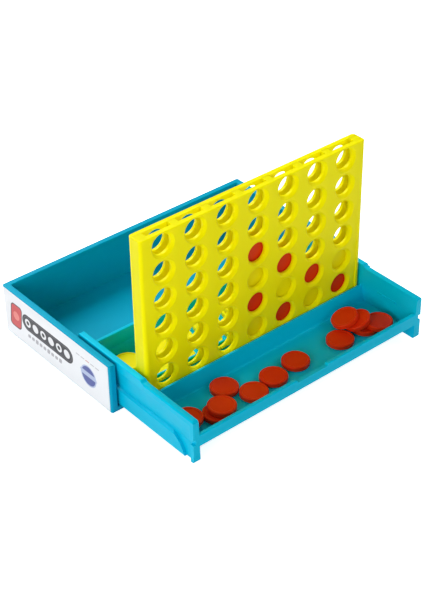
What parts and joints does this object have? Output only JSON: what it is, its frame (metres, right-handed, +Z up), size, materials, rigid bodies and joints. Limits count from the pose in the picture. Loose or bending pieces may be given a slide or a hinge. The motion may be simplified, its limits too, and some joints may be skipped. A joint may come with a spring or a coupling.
{
  "type": "four in a row travel game",
  "caption": "Pocket four in a row game: open case, sliding counter drawer, and a standing two-panel grid rack that holds round counters.",
  "frame": {"origin": "centre of the case's underside", "axes": "+Z up; +X along the case's width, to the right when facing the drawer; +Y from the drawer's end of the case to its back, so the drawer comes out along -Y"},
  "size_m": [0.1501, 0.1394, 0.097],
  "materials": {
    "case_plastic": "moulded, semi-gloss cyan blue",
    "drawer_plastic": "moulded, semi-gloss cyan blue",
    "rack_plastic": "moulded, semi-gloss yellow",
    "counter_red": "moulded, semi-gloss red",
    "counter_yellow": "moulded, semi-gloss yellow",
    "label": "white printed film label, satin"
  },
  "bodies": {
    "case": {"case": "case_plastic", "side_label": "label"},
    "drawer": {"drawer": "drawer_plastic"},
    "rack": {"rack_front_panel": "rack_plastic", "rack_back_panel": "rack_plastic", "rack_end_rib_left": "rack_plastic", "rack_end_rib_right": "rack_plastic", "rack_rib_1": "rack_plastic", "rack_rib_2": "rack_plastic", "rack_rib_3": "rack_plastic", "rack_rib_4": "rack_plastic", "rack_rib_5": "rack_plastic", "rack_rib_6": "rack_plastic"},
    "counter_red_c4_r3": {"counter_red_c4_r3": "counter_red"},
    "counter_yellow_c4_r4": {"counter_yellow_c4_r4": "counter_yellow"},
    "counter_red_c4_r5": {"counter_red_c4_r5": "counter_red"},
    "counter_yellow_c4_r6": {"counter_yellow_c4_r6": "counter_yellow"},
    "counter_red_c5_r4": {"counter_red_c5_r4": "counter_red"},
    "counter_yellow_c5_r5": {"counter_yellow_c5_r5": "counter_yellow"},
    "counter_red_c5_r6": {"counter_red_c5_r6": "counter_red"},
    "counter_red_c6_r5": {"counter_red_c6_r5": "counter_red"},
    "counter_yellow_c6_r6": {"counter_yellow_c6_r6": "counter_yellow"},
    "counter_yellow_c7_r5": {"counter_yellow_c7_r5": "counter_yellow"},
    "counter_red_c7_r6": {"counter_red_c7_r6": "counter_red"},
    "counter_red_a": {"counter_red_a": "counter_red"},
    "counter_red_b": {"counter_red_b": "counter_red"},
    "counter_red_c": {"counter_red_c": "counter_red"},
    "counter_red_d": {"counter_red_d": "counter_red"},
    "counter_red_e": {"counter_red_e": "counter_red"},
    "counter_red_f": {"counter_red_f": "counter_red"},
    "counter_red_g": {"counter_red_g": "counter_red"},
    "counter_red_h": {"counter_red_h": "counter_red"},
    "counter_red_i": {"counter_red_i": "counter_red"},
    "counter_red_j": {"counter_red_j": "counter_red"},
    "counter_red_k": {"counter_red_k": "counter_red"},
    "counter_red_l": {"counter_red_l": "counter_red"},
    "counter_red_m": {"counter_red_m": "counter_red"},
    "counter_yellow_a": {"counter_yellow_a": "counter_yellow"},
    "counter_yellow_b": {"counter_yellow_b": "counter_yellow"},
    "counter_yellow_c": {"counter_yellow_c": "counter_yellow"},
    "counter_yellow_d": {"counter_yellow_d": "counter_yellow"},
    "counter_yellow_e": {"counter_yellow_e": "counter_yellow"},
    "counter_yellow_f": {"counter_yellow_f": "counter_yellow"},
    "counter_yellow_g": {"counter_yellow_g": "counter_yellow"},
    "counter_yellow_h": {"counter_yellow_h": "counter_yellow"},
    "counter_yellow_i": {"counter_yellow_i": "counter_yellow"},
    "counter_yellow_j": {"counter_yellow_j": "counter_yellow"},
    "counter_yellow_k": {"counter_yellow_k": "counter_yellow"},
    "counter_yellow_l": {"counter_yellow_l": "counter_yellow"},
    "counter_yellow_m": {"counter_yellow_m": "counter_yellow"},
    "counter_yellow_n": {"counter_yellow_n": "counter_yellow"},
    "counter_yellow_o": {"counter_yellow_o": "counter_yellow"}
  },
  "joints": [
    {"name": "drawer_slide", "type": "slide", "parent": "case", "child": "drawer", "axis": [0, 1, 0], "range_m": [0, 0.0528]},
    {"name": "rack_lift", "type": "slide", "parent": "drawer", "child": "rack", "axis": [0, 0, 1], "range_m": [0, 0.09]},
    {"name": "lift_c4_r6", "type": "slide", "parent": "drawer", "child": "counter_yellow_c4_r6", "axis": [0, 0, 1], "range_m": [0, 0.0839]},
    {"name": "lift_c4_r5", "type": "slide", "parent": "counter_yellow_c4_r6", "child": "counter_red_c4_r5", "axis": [0, 0, 1], "range_m": [0, 0.07]},
    {"name": "lift_c4_r4", "type": "slide", "parent": "counter_red_c4_r5", "child": "counter_yellow_c4_r4", "axis": [0, 0, 1], "range_m": [0, 0.056]},
    {"name": "lift_c4_r3", "type": "slide", "parent": "counter_yellow_c4_r4", "child": "counter_red_c4_r3", "axis": [0, 0, 1], "range_m": [0, 0.0421]},
    {"name": "lift_c5_r6", "type": "slide", "parent": "drawer", "child": "counter_red_c5_r6", "axis": [0, 0, 1], "range_m": [0, 0.0839]},
    {"name": "lift_c5_r5", "type": "slide", "parent": "counter_red_c5_r6", "child": "counter_yellow_c5_r5", "axis": [0, 0, 1], "range_m": [0, 0.07]},
    {"name": "lift_c5_r4", "type": "slide", "parent": "counter_yellow_c5_r5", "child": "counter_red_c5_r4", "axis": [0, 0, 1], "range_m": [0, 0.056]},
    {"name": "lift_c6_r6", "type": "slide", "parent": "drawer", "child": "counter_yellow_c6_r6", "axis": [0, 0, 1], "range_m": [0, 0.0839]},
    {"name": "lift_c6_r5", "type": "slide", "parent": "counter_yellow_c6_r6", "child": "counter_red_c6_r5", "axis": [0, 0, 1], "range_m": [0, 0.07]},
    {"name": "lift_c7_r6", "type": "slide", "parent": "drawer", "child": "counter_red_c7_r6", "axis": [0, 0, 1], "range_m": [0, 0.0839]},
    {"name": "lift_c7_r5", "type": "slide", "parent": "counter_red_c7_r6", "child": "counter_yellow_c7_r5", "axis": [0, 0, 1], "range_m": [0, 0.07]},
    {"name": "lift_red_a", "type": "slide", "parent": "counter_red_b", "child": "counter_red_a", "axis": [0, 0, 1], "range_m": [0, 0.03]},
    {"name": "lift_red_b", "type": "slide", "parent": "drawer", "child": "counter_red_b", "axis": [0, 0, 1], "range_m": [0, 0.03]},
    {"name": "lift_red_c", "type": "slide", "parent": "counter_red_d", "child": "counter_red_c", "axis": [0, 0, 1], "range_m": [0, 0.03]},
    {"name": "lift_red_d", "type": "slide", "parent": "drawer", "child": "counter_red_d", "axis": [0, 0, 1], "range_m": [0, 0.03]},
    {"name": "lift_red_e", "type": "slide", "parent": "drawer", "child": "counter_red_e", "axis": [0, 0, 1], "range_m": [0, 0.03]},
    {"name": "lift_red_f", "type": "slide", "parent": "drawer", "child": "counter_red_f", "axis": [0, 0, 1], "range_m": [0, 0.03]},
    {"name": "lift_red_g", "type": "slide", "parent": "drawer", "child": "counter_red_g", "axis": [0, 0, 1], "range_m": [0, 0.03]},
    {"name": "lift_red_h", "type": "slide", "parent": "drawer", "child": "counter_red_h", "axis": [0, 0, 1], "range_m": [0, 0.03]},
    {"name": "slide_red_i", "type": "slide", "parent": "drawer", "child": "counter_red_i", "axis": [-1, 0, 0], "range_m": [0, 0.012]},
    {"name": "lift_red_j", "type": "slide", "parent": "counter_red_k", "child": "counter_red_j", "axis": [0, 0, 1], "range_m": [0, 0.03]},
    {"name": "lift_red_k", "type": "slide", "parent": "counter_red_m", "child": "counter_red_k", "axis": [0, 0, 1], "range_m": [0, 0.03]},
    {"name": "lift_red_l", "type": "slide", "parent": "drawer", "child": "counter_red_l", "axis": [0, 0, 1], "range_m": [0, 0.03]},
    {"name": "lift_red_m", "type": "slide", "parent": "counter_red_l", "child": "counter_red_m", "axis": [0, 0, 1], "range_m": [0, 0.03]},
    {"name": "lift_yellow_a", "type": "slide", "parent": "drawer", "child": "counter_yellow_a", "axis": [0, 0, 1], "range_m": [0, 0.03]},
    {"name": "lift_yellow_b", "type": "slide", "parent": "drawer", "child": "counter_yellow_b", "axis": [0, 0, 1], "range_m": [0, 0.03]},
    {"name": "lift_yellow_c", "type": "slide", "parent": "drawer", "child": "counter_yellow_c", "axis": [0, 0, 1], "range_m": [0, 0.03]},
    {"name": "lift_yellow_d", "type": "slide", "parent": "drawer", "child": "counter_yellow_d", "axis": [0, 0, 1], "range_m": [0, 0.03]},
    {"name": "lift_yellow_e", "type": "slide", "parent": "drawer", "child": "counter_yellow_e", "axis": [0, 0, 1], "range_m": [0, 0.03]},
    {"name": "lift_yellow_f", "type": "slide", "parent": "drawer", "child": "counter_yellow_f", "axis": [0, 0, 1], "range_m": [0, 0.03]},
    {"name": "lift_yellow_g", "type": "slide", "parent": "drawer", "child": "counter_yellow_g", "axis": [0, 0, 1], "range_m": [0, 0.03]},
    {"name": "lift_yellow_h", "type": "slide", "parent": "drawer", "child": "counter_yellow_h", "axis": [0, 0, 1], "range_m": [0, 0.03]},
    {"name": "lift_yellow_i", "type": "slide", "parent": "drawer", "child": "counter_yellow_i", "axis": [0, 0, 1], "range_m": [0, 0.03]},
    {"name": "lift_yellow_j", "type": "slide", "parent": "drawer", "child": "counter_yellow_j", "axis": [0, 0, 1], "range_m": [0, 0.03]},
    {"name": "lift_yellow_k", "type": "slide", "parent": "drawer", "child": "counter_yellow_k", "axis": [0, 0, 1], "range_m": [0, 0.03]},
    {"name": "lift_yellow_l", "type": "slide", "parent": "drawer", "child": "counter_yellow_l", "axis": [0, 0, 1], "range_m": [0, 0.03]},
    {"name": "lift_yellow_m", "type": "slide", "parent": "drawer", "child": "counter_yellow_m", "axis": [0, 0, 1], "range_m": [0, 0.03]},
    {"name": "lift_yellow_n", "type": "slide", "parent": "counter_yellow_c", "child": "counter_yellow_n", "axis": [0, 0, 1], "range_m": [0, 0.03]},
    {"name": "lift_yellow_o", "type": "slide", "parent": "counter_yellow_i", "child": "counter_yellow_o", "axis": [0, 0, 1], "range_m": [0, 0.03]}
  ]
}
